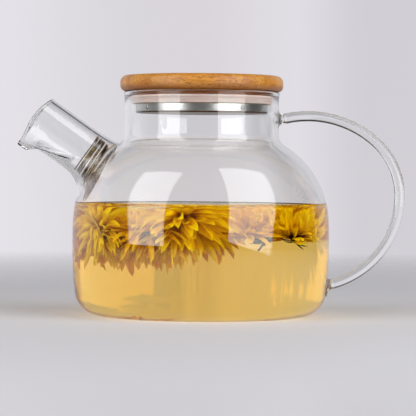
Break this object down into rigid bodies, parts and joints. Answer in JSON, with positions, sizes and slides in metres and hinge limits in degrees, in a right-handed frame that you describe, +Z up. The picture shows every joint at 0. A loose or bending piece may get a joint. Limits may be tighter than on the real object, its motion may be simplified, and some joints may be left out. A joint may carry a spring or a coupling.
{
  "type": "teapot",
  "caption": "Round glass teapot with a pouring spout, a looped glass rod handle, a sealed bamboo plug lid and a wire coil filter in the spout.",
  "frame": {"origin": "centre of the base, on the plane the pot stands on", "axes": "+Z up along the pot's axis, +X towards the handle, so the spout points to -X"},
  "size_m": [0.1957, 0.13, 0.1211],
  "materials": {
    "glass": "clear blown borosilicate glass, fire polished",
    "bamboo": "satin turned laminated bamboo",
    "silicone": "matte translucent silicone",
    "steel": "bright stainless steel"
  },
  "bodies": {
    "pot": {"glass_body": "glass", "spout": "glass", "handle_rod": "glass", "upper_handle_lug": "glass", "lower_handle_lug": "glass"},
    "lid": {"bamboo_lid": "bamboo", "silicone_seal": "silicone", "steel_cup": "steel", "cup_pins": "steel"},
    "filter": {"spout_filter": "steel"}
  },
  "joints": [
    {"name": "lid_lift", "type": "slide", "parent": "pot", "child": "lid", "axis": [0, 0, 1], "range_m": [0, 0.05]},
    {"name": "filter_slide", "type": "slide", "parent": "pot", "child": "filter", "axis": [0.8192, 0, -0.5736], "range_m": [0, 0.02]}
  ]
}
